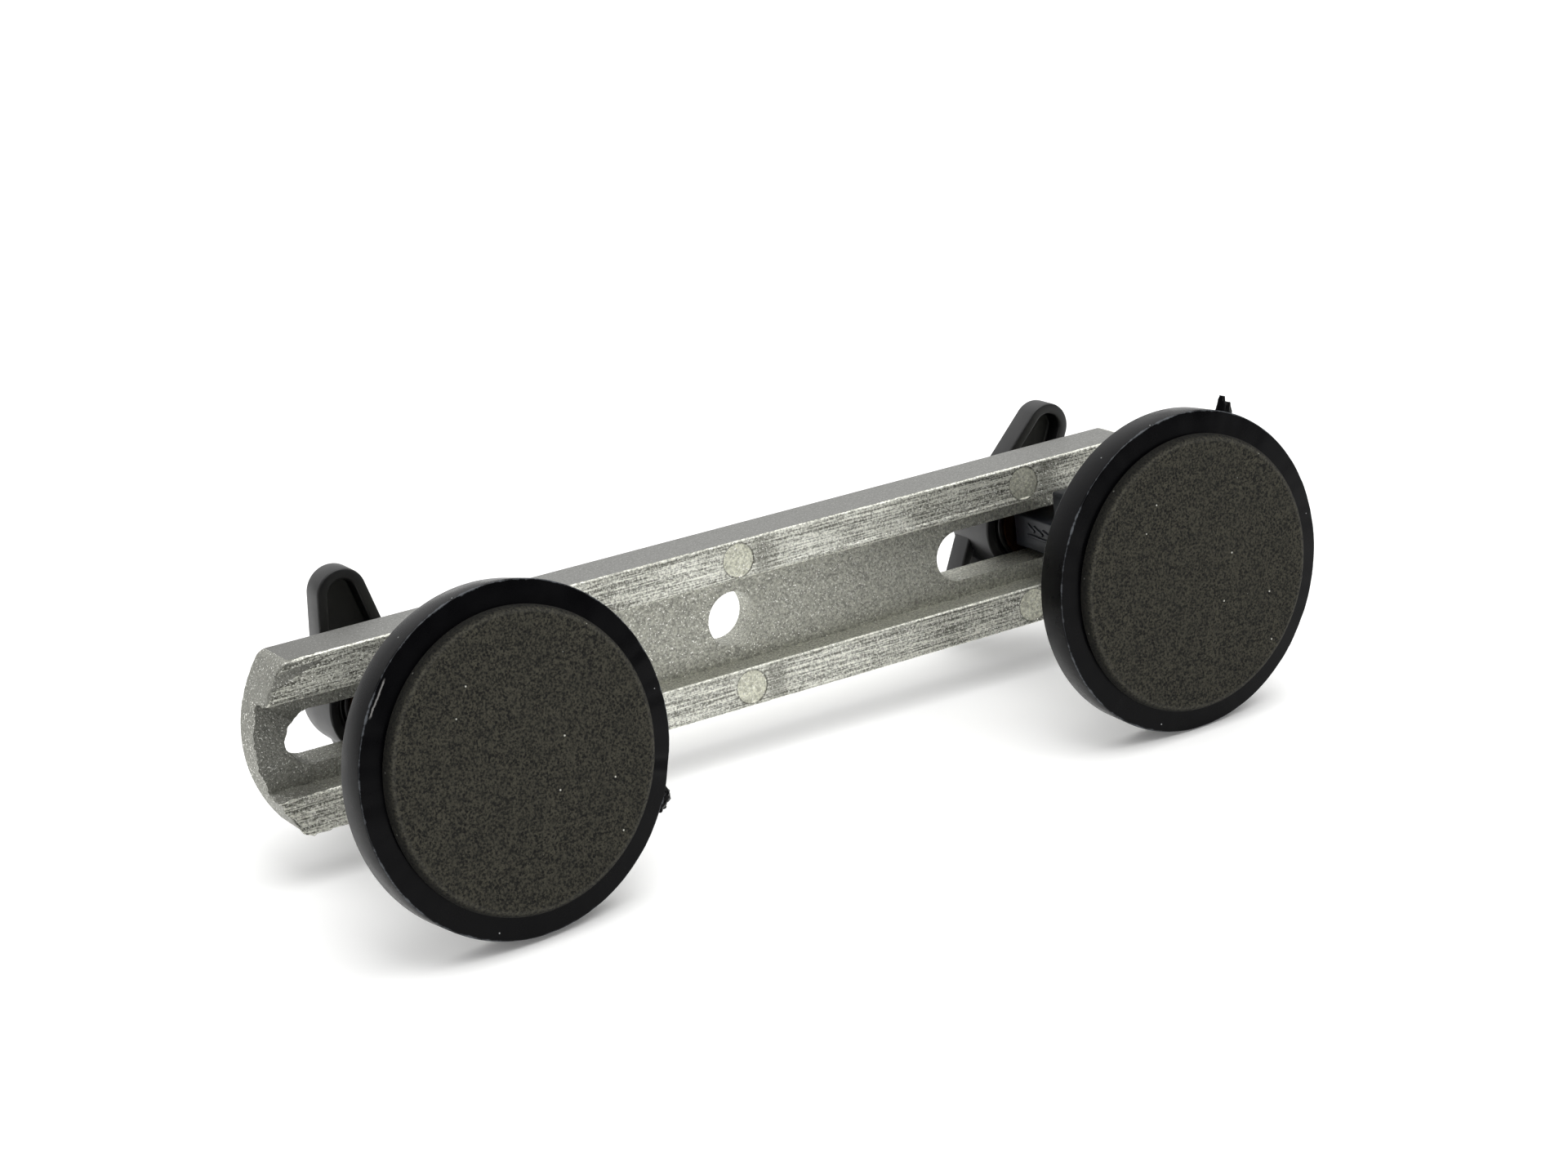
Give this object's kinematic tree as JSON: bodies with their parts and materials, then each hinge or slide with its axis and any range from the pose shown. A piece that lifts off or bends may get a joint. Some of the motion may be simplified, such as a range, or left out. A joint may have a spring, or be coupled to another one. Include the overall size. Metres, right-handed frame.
{
  "type": "dent puller bridge",
  "caption": "Glue-pull dent repair bridge: slotted cast bar with two sliding, swivelling foam-faced feet clamped by two-wing nuts.",
  "frame": {"origin": "on the axis of the centre bore, at the back face of the bar", "axes": "+X along the bar, -Y from the bar towards the pads, +Z across the bar's width and up as the tool lies on the edges of its pads"},
  "size_m": [0.1884, 0.0654, 0.0581],
  "materials": {
    "cast_aluminium": "cast skin with linished rail faces",
    "moulded_stem": "as moulded, satin",
    "moulded_disc": "as moulded, semi-gloss",
    "moulded_nut": "as moulded, satin",
    "foam": "closed-cell foam, skived face",
    "adhesive_film": "pressure-sensitive film",
    "plated_stud": "zinc plated, rolled thread",
    "brass_insert": "turned"
  },
  "bodies": {
    "bar": {"bridge_bar": "cast_aluminium"},
    "left_foot": {"left_foot_stem": "moulded_stem", "left_threaded_stud": "plated_stud"},
    "left_pad": {"left_pad_disc": "moulded_disc", "left_pad_adhesive": "adhesive_film", "left_foam_pad": "foam"},
    "left_nut": {"left_wing_nut": "moulded_nut", "left_thread_insert": "brass_insert"},
    "right_foot": {"right_foot_stem": "moulded_stem", "right_threaded_stud": "plated_stud"},
    "right_pad": {"right_pad_disc": "moulded_disc", "right_pad_adhesive": "adhesive_film", "right_foam_pad": "foam"},
    "right_nut": {"right_wing_nut": "moulded_nut", "right_thread_insert": "brass_insert"}
  },
  "joints": [
    {"name": "left_foot_slide", "type": "slide", "parent": "bar", "child": "left_foot", "axis": [1, 0, 0], "range_m": [-0.0146, 0.0151]},
    {"name": "left_pad_swivel", "type": "hinge", "parent": "left_foot", "child": "left_pad", "pos_m": [-0.064, -0.033, 0], "axis": [0, 0, 1], "range_deg": [-18, 6]},
    {"name": "left_nut_turn", "type": "hinge", "parent": "left_foot", "child": "left_nut", "pos_m": [-0.064, 0, 0], "axis": [0, 1, 0], "range_deg": [0, 270]},
    {"name": "right_foot_slide", "type": "slide", "parent": "bar", "child": "right_foot", "axis": [1, 0, 0], "range_m": [-0.0194, 0.0103]},
    {"name": "right_pad_swivel", "type": "hinge", "parent": "right_foot", "child": "right_pad", "pos_m": [0.0683, -0.033, 0], "axis": [0, 0, 1], "range_deg": [-14, 10]},
    {"name": "right_nut_turn", "type": "hinge", "parent": "right_foot", "child": "right_nut", "pos_m": [0.0683, 0, 0], "axis": [0, 1, 0], "range_deg": [0, 270]}
  ]
}
